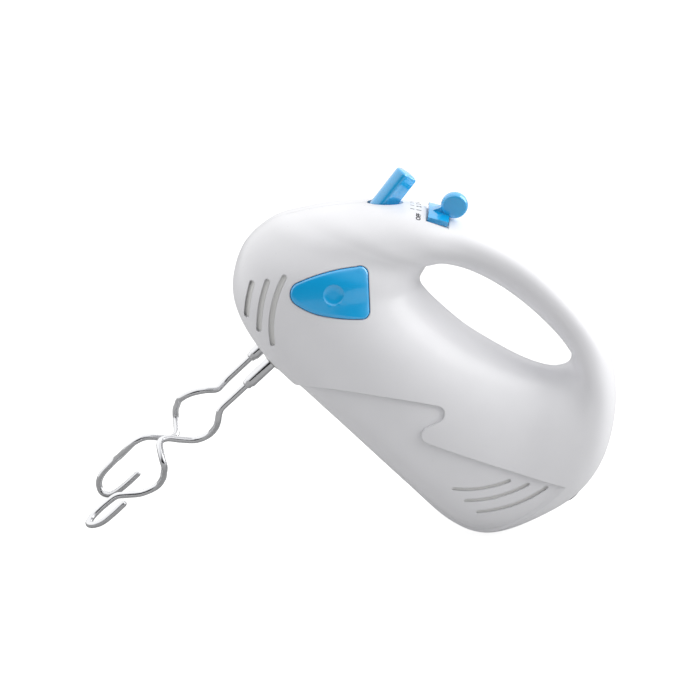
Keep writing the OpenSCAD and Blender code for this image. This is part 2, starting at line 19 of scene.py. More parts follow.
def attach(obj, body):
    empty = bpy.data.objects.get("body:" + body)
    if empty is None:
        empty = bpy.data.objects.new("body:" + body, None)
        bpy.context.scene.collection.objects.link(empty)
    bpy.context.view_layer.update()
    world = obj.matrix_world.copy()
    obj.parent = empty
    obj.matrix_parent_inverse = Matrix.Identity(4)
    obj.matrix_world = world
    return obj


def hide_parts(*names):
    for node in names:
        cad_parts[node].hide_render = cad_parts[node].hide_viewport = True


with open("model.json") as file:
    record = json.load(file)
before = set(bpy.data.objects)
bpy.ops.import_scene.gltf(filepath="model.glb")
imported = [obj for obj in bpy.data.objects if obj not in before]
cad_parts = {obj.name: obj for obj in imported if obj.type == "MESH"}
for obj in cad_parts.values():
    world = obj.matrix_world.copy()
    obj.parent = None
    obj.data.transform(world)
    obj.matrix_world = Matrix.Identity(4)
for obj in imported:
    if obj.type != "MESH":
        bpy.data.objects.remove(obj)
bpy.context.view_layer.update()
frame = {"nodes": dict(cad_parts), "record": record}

# %% [markdown]
# Every piece is worked out in millimetres, in the frame where it is simplest to describe.
# The body frame has the motor lying along X. The spindle frame has the beaters along Z.
# The lever frame has the swing axis of the speed lever along X, and the button frame has
# the travel of the release button along Z. One matrix for each carries it to its place.

# %% Frames of the mixer
MILLIMETRE = 0.001
REST = Matrix.Translation((-0.03609, 0, 0.08236))
BODY = REST @ Matrix.Rotation(radians(42.7), 4, "Y") @ Matrix.Scale(MILLIMETRE, 4)
SPINDLE = REST @ Matrix.Rotation(radians(45), 4, "Y") @ Matrix.Scale(MILLIMETRE, 4)
LEVER_IN_BODY = Matrix.Translation((24.3, 0, 70.6)) @ Matrix.Rotation(radians(-29.5), 4, "Y")
BUTTON_IN_BODY = Matrix.Translation((-10.8, 0, 84.6)) @ Matrix.Rotation(radians(-6.7), 4, "Y")
LEAN = Matrix.Rotation(radians(2.3), 4, "Y")
LEVER_AT_OFF = Matrix.Rotation(radians(13), 4, "X")
print("body frame starts at", [round(x, 4) for x in BODY.translation])

# %% [markdown]
# The camera stands a metre away, a little above the mixer, with a long lens, so that the
# handle loop, the side panel and both hooks are seen at once. The mixer lies on its hook
# tips and its heel.

# %% Camera
to_camera = (
    REST
    @ Matrix.Rotation(radians(-1.3), 4, "Y")
    @ Matrix.Translation((0.0346, 0, -0.0012))
)
stand = Vector((0, -0.9613, 0.2756))
aim = (-stand).to_track_quat("-Z", "Y").to_matrix().to_4x4()
camera_data = bpy.data.cameras.new("long_lens")
camera_data.lens = 113.2
camera_data.sensor_width = 36
camera_data.clip_start = 0.05
camera_data.clip_end = 60
camera = bpy.data.objects.new("camera", camera_data)
bpy.context.scene.collection.objects.link(camera)
camera.matrix_world = to_camera @ Matrix.Translation(stand) @ aim
bpy.context.scene.camera = camera
print("camera at", [round(x, 3) for x in camera.matrix_world.translation])

# %% [markdown]
# Soft studio light: a room bright above, behind and at both ends, darker in front, and one wide
# lamp at the right. The pale floor throws light back on the sides of the housing.

# %% Light and floor
BRIGHT_SIDE = (-0.04, 0.58, 1.0)
BRIGHT_ENDS = 0.76
bpy.context.scene.view_settings.view_transform = "Standard"
world = bpy.data.worlds.new("studio")
bpy.context.scene.world = world
world.use_nodes = True
sky = world.node_tree
sky_place = sky.nodes.new("ShaderNodeTexCoord")
sky_lean = sky.nodes.new("ShaderNodeVectorMath")
sky_lean.operation = "DOT_PRODUCT"
sky_lean.inputs[1].default_value = BRIGHT_SIDE
sky_ramp = sky.nodes.new("ShaderNodeValToRGB")
sky_range = sky.nodes.new("ShaderNodeMapRange")
sky_range.inputs["From Min"].default_value = -1
sky_range.inputs["From Max"].default_value = 1
sky.links.new(sky_place.outputs["Generated"], sky_lean.inputs[0])
sky_split = sky.nodes.new("ShaderNodeSeparateXYZ")
sky.links.new(sky_place.outputs["Generated"], sky_split.inputs[0])
sky_ends = sky.nodes.new("ShaderNodeMath")
sky_ends.operation = "ABSOLUTE"
sky.links.new(sky_split.outputs["X"], sky_ends.inputs[0])
sky_sum = sky.nodes.new("ShaderNodeMath")
sky_sum.operation = "MULTIPLY_ADD"
sky_sum.inputs[1].default_value = BRIGHT_ENDS
sky.links.new(sky_ends.outputs[0], sky_sum.inputs[0])
sky.links.new(sky_lean.outputs["Value"], sky_sum.inputs[2])
sky.links.new(sky_sum.outputs[0], sky_range.inputs["Value"])
sky.links.new(sky_range.outputs[0], sky_ramp.inputs[0])
ramp = sky_ramp.color_ramp
ramp.elements[0].position = 0.25
ramp.elements[0].color = (0.015, 0.015, 0.018, 1)
ramp.elements[1].position = 1.0
ramp.elements[1].color = (1.7, 1.7, 1.7, 1)
for position, level in ((0.5, 0.05), (0.62, 0.40), (0.74, 1.15)):
    ramp.elements.new(position).color = (level, level, level * 1.03, 1)
sky.links.new(sky_ramp.outputs[0], sky.nodes["Background"].inputs["Color"])
sky.nodes["Background"].inputs["Strength"].default_value = 0.67

lamp_data = bpy.data.lights.new("overhead", "AREA")
lamp_data.shape = "DISK"
lamp_data.size = 1.1
lamp_data.energy = 8.0
lamp = bpy.data.objects.new("overhead", lamp_data)
bpy.context.scene.collection.objects.link(lamp)
lamp.location = (0.95, 0.10, 0.70)
lamp.rotation_euler = (Vector((0, 0, 0.1)) - lamp.location).to_track_quat("-Z", "Y").to_euler()

floor_mesh = bpy.data.meshes.new("floor")
floor_mesh.from_pydata([(-9, -9, 0), (9, -9, 0), (9, 9, 0), (-9, 9, 0)], [], [(0, 1, 2, 3)])
floor = bpy.data.objects.new("floor", floor_mesh)
bpy.context.scene.collection.objects.link(floor)
floor_finish = bpy.data.materials.new("pale_floor")
floor_finish.use_nodes = True
floor_shader = floor_finish.node_tree.nodes["Principled BSDF"]
floor_shader.inputs["Base Color"].default_value = (0.35, 0.35, 0.35, 1)
floor_shader.inputs["Roughness"].default_value = 0.9
floor_shader.inputs["Specular IOR Level"].default_value = 0.1
floor_shader.inputs["Emission Color"].default_value = (1, 1, 1, 1)
floor_path = floor_finish.node_tree.nodes.new("ShaderNodeLightPath")
floor_glow = floor_finish.node_tree.nodes.new("ShaderNodeMapRange")
floor_glow.clamp = False
floor_glow.inputs["To Min"].default_value = 0.24
floor_glow.inputs["To Max"].default_value = 0.85
floor_dim = floor_finish.node_tree.nodes.new("ShaderNodeMath")
floor_dim.operation = "MULTIPLY_ADD"
floor_dim.inputs[1].default_value = -0.38
floor_finish.node_tree.links.new(floor_path.outputs["Is Glossy Ray"], floor_dim.inputs[0])
floor_finish.node_tree.links.new(floor_path.outputs["Is Camera Ray"], floor_dim.inputs[2])
floor_finish.node_tree.links.new(floor_dim.outputs[0], floor_glow.inputs["Value"])
floor_finish.node_tree.links.new(floor_glow.outputs[0], floor_shader.inputs["Emission Strength"])
floor_mesh.materials.append(floor_finish)
print("one lamp, a graded room and a floor")

# %% [markdown]
# ## Finishes
# Each finish is a small tree on Object coordinates: a slow mottle in the colour, a change
# of roughness, and a fine bump. A Bevel node rounds the light over sharp moulded edges,
# which on the real part have a small radius.

# %% A finish tree
def finish(name, colour, rough, metal=0.0, mottle=0.03, grain=400, bump=0.05, edge=0.0,
           stretch=(1, 1, 1), coat=0.0, specular=0.5, rough_swing=0.06, subsurface=0.0,
           turn=(0, 0, 0)):
    """A procedural finish: colour and roughness vary a little, and the surface has a grain."""
    material = bpy.data.materials.new(name)
    material.use_nodes = True
    tree = material.node_tree
    new, link = tree.nodes.new, tree.links.new
    shader = tree.nodes["Principled BSDF"]
    place = new("ShaderNodeTexCoord")
    scale = new("ShaderNodeMapping")
    scale.inputs["Scale"].default_value = stretch
    scale.inputs["Rotation"].default_value = [radians(a) for a in turn]
    link(place.outputs["Object"], scale.inputs["Vector"])
    slow = new("ShaderNodeTexNoise")
    slow.inputs["Scale"].default_value = grain * 0.06
    slow.inputs["Detail"].default_value = 3
    link(scale.outputs[0], slow.inputs["Vector"])
    fine = new("ShaderNodeTexNoise")
    fine.inputs["Scale"].default_value = grain
    fine.inputs["Detail"].default_value = 4
    link(scale.outputs[0], fine.inputs["Vector"])
    shades = new("ShaderNodeValToRGB")
    shades.color_ramp.elements[0].position = 0.3
    shades.color_ramp.elements[0].color = [max(0, c * (1 - mottle)) for c in colour] + [1]
    shades.color_ramp.elements[1].position = 0.7
    shades.color_ramp.elements[1].color = [min(1, c * (1 + mottle)) for c in colour] + [1]
    link(slow.outputs["Fac"], shades.inputs[0])
    link(shades.outputs[0], shader.inputs["Base Color"])
    shine = new("ShaderNodeMapRange")
    shine.inputs["To Min"].default_value = max(0.02, rough - rough_swing)
    shine.inputs["To Max"].default_value = min(1, rough + rough_swing)
    link(fine.outputs["Fac"], shine.inputs["Value"])
    link(shine.outputs[0], shader.inputs["Roughness"])
    relief = new("ShaderNodeBump")
    relief.inputs["Strength"].default_value = bump
    relief.inputs["Distance"].default_value = 0.0002
    link(fine.outputs["Fac"], relief.inputs["Height"])
    link(relief.outputs[0], shader.inputs["Normal"])
    if edge:
        rim = new("ShaderNodeBevel")
        rim.samples = 5
        rim.inputs["Radius"].default_value = edge * MILLIMETRE
        link(rim.outputs[0], relief.inputs["Normal"])
    shader.inputs["Metallic"].default_value = metal
    shader.inputs["Specular IOR Level"].default_value = specular
    shader.inputs["Coat Weight"].default_value = coat
    shader.inputs["Coat Roughness"].default_value = 0.08
    if subsurface:
        shader.inputs["Subsurface Weight"].default_value = subsurface
        shader.inputs["Subsurface Radius"].default_value = (0.6, 0.6, 0.7)
        shader.inputs["Subsurface Scale"].default_value = 0.002
    return material


# %% The finishes of the mixer
FINISH = {
    "white_housing": finish("white_moulding", (0.85, 0.85, 0.87), 0.30, mottle=0.012,
                            grain=900, bump=0.06, edge=0.8, specular=0.45),
    "blue_plastic": finish("blue_moulding", (0.004, 0.46, 0.93), 0.20, mottle=0.03,
                           grain=800, bump=0.04, edge=0.4, specular=0.9, coat=1.0),
    "inner_white": finish("acetal", (0.78, 0.78, 0.76), 0.45, mottle=0.05, bump=0.1, edge=0.2),
    "black_plastic": finish("black_moulding", (0.018, 0.018, 0.020), 0.42, mottle=0.2,
                            bump=0.15, edge=0.2),
    "grey_rubber": finish("rubber", (0.035, 0.035, 0.040), 0.7, mottle=0.2, bump=0.3, edge=0.3),
    "chrome_wire": finish("chrome_plate", (0.82, 0.825, 0.84), 0.05, metal=1, mottle=0.10,
                          grain=430, bump=0.45, rough_swing=0.02),
    "plain_steel": finish("zinc_plate", (0.58, 0.58, 0.57), 0.32, metal=1, mottle=0.08,
                          grain=500, bump=0.12, edge=0.15),
    "cast_alloy": finish("die_casting", (0.48, 0.485, 0.49), 0.48, metal=1, mottle=0.1,
                         grain=600, bump=0.35, edge=0.3),
    "bronze": finish("sintered_bronze", (0.50, 0.33, 0.14), 0.42, metal=1, mottle=0.15,
                     grain=1500, bump=0.3),
    "laminations": finish("laminated_steel", (0.26, 0.265, 0.28), 0.42, metal=1, mottle=0.15,
                          grain=900, bump=0.5, stretch=(3, 0.2, 0.2), turn=(0, 45, 0)),
    "copper": finish("enamelled_copper", (0.52, 0.19, 0.06), 0.28, metal=0.7, mottle=0.2,
                     grain=900, bump=0.6, coat=0.5, stretch=(1, 1, 1)),
    "carbon": finish("pressed_carbon", (0.016, 0.016, 0.018), 0.55, mottle=0.2, bump=0.3),
    "board_green": finish("circuit_green", (0.02, 0.12, 0.05), 0.35, mottle=0.25, grain=500,
                          bump=0.1, coat=0.3),
    "yellow_film": finish("film_case", (0.55, 0.33, 0.03), 0.30, mottle=0.06, bump=0.1, edge=0.5),
    "red_lead": finish("lead_skin", (0.42, 0.015, 0.012), 0.4, mottle=0.08, bump=0.1),
    "plate_silver": finish("blank_foil", (0.60, 0.61, 0.63), 0.34, metal=0.9, mottle=0.05,
                           grain=700, bump=0.3, stretch=(0.15, 3, 1), edge=0.2),
}
FINISH["blue_plastic"].node_tree.nodes["Principled BSDF"].inputs["Coat IOR"].default_value = 1.75
PRINT = finish("grey_print", (0.022, 0.023, 0.030), 0.5, mottle=0.15, grain=600, bump=0.05)
print("finishes:", len(FINISH) + 1)

# %% [markdown]
# The record says which slot each solid takes. The same finish goes on the solids that
# stay as they are, such as the gearbox, the motor and the board.

# %% Dress the solids
slot_of = {part["node"]: part["material_slot"] for part in frame["record"]["subparts"]}
for node, solid in frame["nodes"].items():
    solid.data.materials.clear()
    solid.data.materials.append(FINISH[slot_of[node]])
print("dressed", len(slot_of), "solids")


# %% [markdown]
# ## Tools of the bench
# A piece starts as points and faces in millimetres. Cuts are made there too, with exact
# solids, and only then does the piece go to its place, in metres.

# %% Mesh helpers
def solid_from(name, points, faces):
    """An object from points and faces, with its faces turned outwards."""
    mesh = bpy.data.meshes.new(name)
    mesh.from_pydata([tuple(p) for p in points], [], [tuple(f) for f in faces])
    work = bmesh.new()
    work.from_mesh(mesh)
    bmesh.ops.remove_doubles(work, verts=work.verts, dist=1e-5)
    bmesh.ops.recalc_face_normals(work, faces=work.faces)
    work.to_mesh(mesh)
    work.free()
    piece = bpy.data.objects.new(name, mesh)
    bpy.context.scene.collection.objects.link(piece)
    return piece


def baked(piece):
    """The piece as its modifiers leave it, as a plain mesh of its own."""
    graph = bpy.context.evaluated_depsgraph_get()
    graph.update()
    mesh = bpy.data.meshes.new_from_object(piece.evaluated_get(graph), depsgraph=graph)
    piece.modifiers.clear()
    old = piece.data
    piece.data = mesh
    if old.users == 0 and isinstance(old, bpy.types.Mesh):
        bpy.data.meshes.remove(old)
    return piece


def combine(piece, others, how="DIFFERENCE", keep=False):
    """Cuts the other solids from a piece, or joins or intersects them with it."""
    for other in others:
        step = piece.modifiers.new("combine", "BOOLEAN")
        step.operation = how
        step.solver = "MANIFOLD"
        step.object = other
    baked(piece)
    if not keep:
        for other in others:
            bpy.data.objects.remove(other)
    return piece


def copy_of(piece, name, matrix=None):
    """A copy of a piece with its own mesh, moved by a matrix."""
    twin = bpy.data.objects.new(name, piece.data.copy())
    bpy.context.scene.collection.objects.link(twin)
    if matrix is not None:
        twin.data.transform(matrix)
        if matrix.determinant() < 0:
            twin.data.flip_normals()
    return twin


def place(piece, matrix, body, slot, stands_for=(), crease=32):
    """Takes a finished piece to its place, dresses it and lets it ride on its body."""
    piece.data.transform(matrix)
    piece.data.materials.clear()
    piece.data.materials.append(FINISH[slot])
    for face in piece.data.polygons:
        face.material_index = 0
        face.use_smooth = True
    piece.data.set_sharp_from_angle(angle=radians(crease))
    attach(piece, body)
    if stands_for:
        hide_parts(*stands_for)
    print(piece.name, "faces", len(piece.data.polygons), "rides on", body)
    return piece


def prism(name, outline, low, high, axis="Y"):
    """An outline in X and Z pulled along Y, or one in X and Y pulled along Z."""
    n = len(outline)
    if axis == "Y":
        points = [(a, low, b) for a, b in outline] + [(a, high, b) for a, b in outline]
    else:
        points = [(a, b, low) for a, b in outline] + [(a, b, high) for a, b in outline]
    faces = [list(range(n)), list(range(2 * n - 1, n - 1, -1))]
    faces += [(i, (i + 1) % n, n + (i + 1) % n, n + i) for i in range(n)]
    return solid_from(name, points, faces)


def turned(name, profile, sides=64, matrix=None):
    """A closed profile of radius and height turned round Z, as on a lathe."""
    points, faces, m = [], [], len(profile)
    for i in range(sides):
        a = 2 * pi * i / sides
        points += [(r * cos(a), r * sin(a), z) for r, z in profile]
    for i in range(sides):
        j = (i + 1) % sides
        faces += [(i * m + k, j * m + k, j * m + (k + 1) % m, i * m + (k + 1) % m)
                  for k in range(m)]
    piece = solid_from(name, points, faces)
    work = bmesh.new()
    work.from_mesh(piece.data)
    bmesh.ops.dissolve_degenerate(work, dist=1e-5, edges=work.edges)
    work.to_mesh(piece.data)
    work.free()
    if matrix is not None:
        piece.data.transform(matrix)
    return piece


def rounded(outline, radius, steps=5):
    """An outline with each corner replaced by a small curve."""
    result, n = [], len(outline)
    for i in range(n):
        before, here, after = (Vector(outline[(i + k) % n]) for k in (-1, 0, 1))
        trim = [min(radius, 0.48 * (p - here).length) for p in (before, after)]
        start = here + (before - here).normalized() * trim[0]
        end = here + (after - here).normalized() * trim[1]
        for k in range(steps + 1):
            u = k / steps
            p = start * (1 - u) ** 2 + here * 2 * u * (1 - u) + end * u * u
            result.append((p.x, p.y))
    return result


print("bench ready")

# %% [markdown]
# ## The housing
# The housing is a closed loop: the motor body below, the handle above, and the finger
# opening between them. Its shape is a section carried round the opening. Twenty stations
# say where the section starts at the opening, where it ends at the outline, how wide it
# is, how far out its crown lies, and how square its two flanks are.

# %% Stations of the housing
HALF_WIDTH = 40
STATIONS = np.array([
    [23, 74, -42, 41, 33, 0.52, 2.2, 2, 2.4, 2.4],
    [24, 70.5, -42, 23, HALF_WIDTH - 3, 0.54, 2.2, 2, 2.6, 2.6],
    [27, 68, -31, 7, HALF_WIDTH - 1, 0.58, 2.2, 2, 3, 3.2],
    [33, 67, -8, 0, HALF_WIDTH, 0.62, 2.2, 2, 4, 4.5],
    [43, 67, 22, 0, HALF_WIDTH, 0.66, 2.2, 2, 5, 5.5],
    [56, 68, 54, 0, HALF_WIDTH - 2, 0.68, 2.2, 2, 5, 5.5],
    [70, 71, 84, 0, HALF_WIDTH - 5, 0.68, 2.2, 2, 5, 5.5],
    [84, 75, 111, 0.5, 31, 0.66, 2.2, 2, 4.4, 5],
    [94, 79.5, 129, 7, 27, 0.62, 2.2, 2, 3.4, 4],
    [99.5, 84, 141, 25, 24, 0.56, 2.2, 2, 2.8, 3],
    [101.5, 89, 147.5, 48, 21, 0.54, 2.2, 2, 2.4, 2.6],
    [98.5, 92.5, 143, 70.5, 19, 0.52, 2.2, 2, 2.3, 2.4],
    [91, 94, 127, 93, 17.5, 0.5, 2.1, 2, 2.2, 2.2],
    [80, 94.5, 105, 107.5, 16, 0.5, 2.1, 2, 2.2, 2.2],
    [66, 94, 76, 112.5, 15.5, 0.5, 2.1, 2, 2.2, 2.2],
    [52, 92, 46, 110.5, 15.5, 0.5, 2.1, 2, 2.2, 2.2],
    [38, 88, 17, 101, 18, 0.5, 2.1, 2, 2.3, 2.2],
    [28, 83, -6, 88, 24, 0.5, 2.1, 2, 2.3, 2.2],
    [24, 79, -25, 68, 29, 0.5, 2.2, 2, 2.4, 2.3],
    [22.5, 76.5, -35, 54.5, 31, 0.5, 2.2, 2, 2.4, 2.3]])
PER_STATION = 16
AROUND = 76
WALL = 2.6
SEAM_WIDTH = 0.3
SEAM_DEPTH = 0.32

a, b, c, d = (np.roll(STATIONS, k, axis=0)[:, None, :] for k in (1, 0, -1, -2))
u = (np.arange(PER_STATION) / PER_STATION)[None, :, None]
ROWS = 0.5 * (2 * b + (c - a) * u + (2 * a - 5 * b + 4 * c - d) * u ** 2
              + (3 * b - a - 3 * c + d) * u ** 3)
ROWS = ROWS.reshape(-1, STATIONS.shape[1])
print("rows round the opening:", len(ROWS))


# %% [markdown]
# A point of the skin comes from its row, its angle round the section and its depth below
# the surface. The angles are spread so that the faces are even, also on the flat side.
# The last faces before the middle plane dip a little: two such halves form the fine seam.

# %% Points of the skin
def skin(rows, angle, depth):
    """Points of the half shell at angles of 0 to pi, for rows and depths that match."""
    hole, rim = rows[:, None, 0:2], rows[:, None, 2:4]
    reach = np.linalg.norm(rim - hole, axis=2)
    width, crown, n1, m1, n2, m2 = (rows[:, None, k] for k in range(4, 10))
    c, s = np.abs(np.cos(angle)), np.abs(np.sin(angle))
    inner = angle <= pi / 2
    t = np.where(inner, crown * (1 - c ** (2 / n1)), crown + (1 - crown) * c ** (2 / n2))
    y = (width - depth) * np.where(inner, s ** (2 / m1), s ** (2 / m2))
    e = depth / reach
    xz = hole + (rim - hole) * (e + (1 - 2 * e) * t)[:, :, None]
    return np.stack([xz[:, :, 0], y, xz[:, :, 1]], axis=2)


half = (np.linspace(0, 1, 400) ** 2.5) * pi / 2
dense = np.concatenate([half, pi - half[::-1][1:]])
dense = np.broadcast_to(dense, (len(ROWS), len(dense)))
course = skin(ROWS, dense, np.zeros_like(dense))
length = np.linalg.norm(np.diff(course, axis=1), axis=2).cumsum(axis=1)
length = np.concatenate([np.zeros((len(ROWS), 1)), length], axis=1)
ANGLES = np.empty((len(ROWS), AROUND + 1))
for i in range(len(ROWS)):
    even = np.linspace(0, length[i, -1], AROUND + 1)
    ANGLES[i] = np.interp(even, length[i], dense[i])
ANGLES[:, 1] = np.arcsin((SEAM_WIDTH / ROWS[:, 4]) ** (ROWS[:, 7] / 2))
ANGLES[:, -2] = pi - np.arcsin((SEAM_WIDTH / ROWS[:, 4]) ** (ROWS[:, 9] / 2))
print("faces along the section:", AROUND)


# %% Half solids and the half shell
def woven(grid, wrap):
    """Quads over a grid of points that closes on itself round the opening."""
    rows, cols = grid.shape[0], grid.shape[1]
    last = cols if wrap else cols - 1
    return [(i * cols + k, i * cols + (k + 1) % cols,
             ((i + 1) % rows) * cols + (k + 1) % cols, ((i + 1) % rows) * cols + k)
            for i in range(rows) for k in range(last)]


def half_solid(name, depth):
    """Everything on the +Y side that lies deeper than a depth below the skin."""
    grid = skin(ROWS, ANGLES, np.full_like(ANGLES, float(depth)))
    grid[:, 0, 1] = grid[:, -1, 1] = 0
    cover = np.concatenate([grid, grid[:, -1:] - (0, 0.5, 0), grid[:, :1] - (0, 0.5, 0)], axis=1)
    return solid_from(name, cover.reshape(-1, 3), woven(cover, True))


def half_shell(name):
    """The wall between the skin and its inner face, on the +Y side, with the seam dip."""
    dip = np.zeros_like(ANGLES)
    dip[:, 0] = dip[:, -1] = SEAM_DEPTH
    outer = skin(ROWS, ANGLES, dip)
    inner = skin(ROWS, ANGLES, np.full_like(ANGLES, WALL))[:, ::-1]
    outer[:, (0, -1), 1] = inner[:, (0, -1), 1] = 0
    grid = np.concatenate([outer, inner], axis=1)
    return solid_from(name, grid.reshape(-1, 3), woven(grid, True))


shell = half_shell("shell")
print("half shell faces", len(shell.data.polygons))

# %% [markdown]
# Inside, ribs hold the stator and pads carry the gearbox, and a collar of white plastic
# goes down round the release button. They are joined to the shell before anything is cut.

# %% Ribs and the collar of the button well
WELL_RADIUS = 6.4
inside = half_solid("inside", 1.7)
ribs = [prism("rib", [(x, z), (x + w, z), (x + w, z + h), (x, z + h)], y, y + 30)
        for x, y, z, w, h in ((48, 22.2, 22, 2, 20), (66, 22.2, 22, 2, 20),
                              (92, 18.4, 24, 3, 16), (-4, 33.2, 8, 8, 5))]
for rib in ribs:
    rib.data.transform(LEAN)
collar = turned("collar", [(0, -13), (WELL_RADIUS + 1.3, -13), (WELL_RADIUS + 1.3, 14), (0, 14)],
                matrix=BUTTON_IN_BODY)
for part in ribs + [collar]:
    combine(part, [inside], "INTERSECT", keep=True)
combine(shell, ribs + [collar], "UNION")
print("shell with ribs", len(shell.data.polygons))

# %% [markdown]
# The side of the housing carries a triangular badge in a shallow recess, curved vent
# slots at the nose and at the heel, and a lower panel that lies a little deeper than the
# upper one, behind a zigzag line. Each is an outline pulled through the side. The recesses
# keep the shape of the skin: their tools end at a half solid of the right depth.

# %% Outlines on the side
PANEL_STEP = 1.2
BADGE_RECESS = 1.5
# Each corner is an arc: centre, radius, first and last angle, and the bow of the side that follows.
# A radius of 0 makes a plain stop.
PANEL_CORNERS = ((14, 3.8, 0, 0, 0, 0.4), (27.5, 15, 0, 0, 0, 0.6), (66.6, 35.4, 3.8, 118, -12, 0),
                 (71.4, 26.8, 3.95, 165, 285, -0.35), (142, 50.5, 0, 0, 0, 0))
BADGE_CORNERS = ((-14, 34.8, 5.65, -72, -192, 1.3), (-1.5, 57.3, 4, 155, 45, 0),
                 (10.6, 46.7, 3.3, 45, -50, 0.3), (0, 34.5, 0, 0, 0, 0.7))
# Each slot has a start, an end, a bow and a width: three at the nose, then three at the heel.
VENTS = ([((-32 + 3.75 * i, 21.5 + 5.5 * i + 0.4 * i * i), (-24 + 7.5 * i + 0.25 * i * i, 9.5),
           -0.4 - 0.5 * i * i, 2.2) for i in range(3)]
         + [((98 + 8.25 * i, 15.3 - 0.5 * i), (114.5 + 7.8 * i, 34.2 + 4.3 * i),
             -1.6 - 0.5 * i, 1.6) for i in range(3)])


def cornered(corners, closed, side=12, turn=10):
    """A line of arcs joined by straight or bowed sides."""
    arcs = [[Vector((x + r * cos(a), z + r * sin(a)))
             for a in np.linspace(radians(first), radians(last), turn + 1 if r else 1)]
            for x, z, r, first, last, _ in corners]
    result = []
    for i, arc in enumerate(arcs):
        result += arc
        if closed or i < len(arcs) - 1:
            p, q = arc[-1], arcs[(i + 1) % len(arcs)][0]
            out = Vector((-(q - p).y, (q - p).x)).normalized() * corners[i][-1]
            result += [p + (q - p) * t + out * 4 * t * (1 - t) for t in np.arange(1, side) / side]
    return result


def badge_outline(grow):
    """The rounded triangle of the badge, grown or drawn in by a gap."""
    line = cornered(BADGE_CORNERS, True)
    result = []
    for i, p in enumerate(line):
        run = (line[(i + 1) % len(line)] - line[i - 1]).normalized()
        result.append(tuple(p + Vector((-run.y, run.x)) * (grow - 0.35)))
    return result


PANEL = [tuple(p) for p in cornered(PANEL_CORNERS, False)] + [(142, -22), (5, -22), (5, -12)]


def vent_outline(start, end, bow, width, steps=12):
    """A bowed slot with round ends."""
    p, q = Vector(start), Vector(end)
    out = Vector((-(q - p).y, (q - p).x)).normalized()
    spine = [p + (q - p) * t + out * bow * 4 * t * (1 - t) for t in np.linspace(0, 1, steps)]
    left, right = [], []
    for i, s in enumerate(spine):
        run = (spine[min(i + 1, steps - 1)] - spine[max(i - 1, 0)]).normalized()
        n = Vector((-run.y, run.x)) * width / 2
        left.append(tuple(s + n))
        right.append(tuple(s - n))
    caps = []
    for s, base in ((spine[-1], spine[-1] - spine[-2]), (spine[0], spine[0] - spine[1])):
        run = base.normalized()
        n = Vector((-run.y, run.x))
        caps.append([tuple(s + (n * cos(a) + run * sin(a)) * width / 2)
                     for a in np.linspace(0, pi, 9)[1:-1]])
    return left + caps[0] + right[::-1] + caps[1]


print("badge corners", len(badge_outline(0)), "vents", len(VENTS))


# %% Tools that cut the housing
def sector(name, r0, r1, a0, a1, x0, x1, steps=48):
    """A piece of a ring round the swing axis of the lever."""
    points = []
    for k in range(steps + 1):
        a = radians(a0 + (a1 - a0) * k / steps)
        points += [(x, -r * sin(a), r * cos(a)) for x, r in ((x0, r0), (x1, r0), (x1, r1), (x0, r1))]
    faces = [(0, 1, 2, 3), [4 * steps + k for k in (3, 2, 1, 0)]]
    faces += [(4 * i + k, 4 * i + (k + 1) % 4, 4 * i + 4 + (k + 1) % 4, 4 * i + 4 + k)
              for i in range(steps) for k in range(4)]
    return solid_from(name, points, faces)


badge_tool = prism("badge_tool", badge_outline(0.35), 8, 48)
combine(badge_tool, [half_solid("floor_of_recess", BADGE_RECESS)])
panel_tool = prism("panel_tool", PANEL, 20, 50)
combine(panel_tool, [half_solid("floor_of_panel", PANEL_STEP)])
vent_tools = [prism("vent_tool", vent_outline(*v), 8, 48) for v in VENTS]
seat_tool = sector("seat_tool", 30.2, 39.2, -30, 30, -5.8, 4.8)
slot_tool = sector("slot_tool", 24, 34.2, -17, 17, -2.4, 2.4)
for tool in (seat_tool, slot_tool):
    tool.data.transform(LEVER_IN_BODY)
well_tool = turned("well_tool", [(0, -14), (WELL_RADIUS, -14), (WELL_RADIUS, 16), (0, 16)], 96,
                   BUTTON_IN_BODY)
gland_tool = turned("gland_tool", [(0, 132), (6.6, 132), (6.6, 162), (0, 162)], 96,
                    Matrix.Translation((0, 0, 46)) @ Matrix.Rotation(pi / 2, 4, "Y"))
spindle_tool = turned("spindle_tool", [(0, -8), (7.2, -8), (7.2, 8), (0, 8)], 96,
                      LEAN @ Matrix.Translation((0, 22, 0)))
plate_tool = prism("plate_tool", rounded([(40, -14), (74, -14), (74, 14), (40, 14)], 1.5), -2, 0.8,
                   axis="Z")
combine(shell, [badge_tool, panel_tool, *vent_tools, seat_tool, slot_tool, well_tool, gland_tool,
                spindle_tool, plate_tool])
print("cut shell faces", len(shell.data.polygons))

# %% [markdown]
# Six screws hold the halves together. They enter from the right side through
# counterbores, and end in posts of the left half.

# %% Screw posts and the two halves
SCREWS = ((-24.5, 47, 14, -10), (40, 60.3, 12, -10), (85.5, 6.3, 12, -10), (126, 64, 9, -8),
          (52, 101.3, 6, -8), (110, 96, 7, -8))
ALONG_Y = Matrix.Rotation(-pi / 2, 4, "X")


def pin(name, x, z, radius, low, high, sides=32):
    """A round bar along Y."""
    return turned(name, [(0, low), (radius, low), (radius, high), (0, high)], sides,
                  Matrix.Translation((x, 0, z)) @ ALONG_Y)


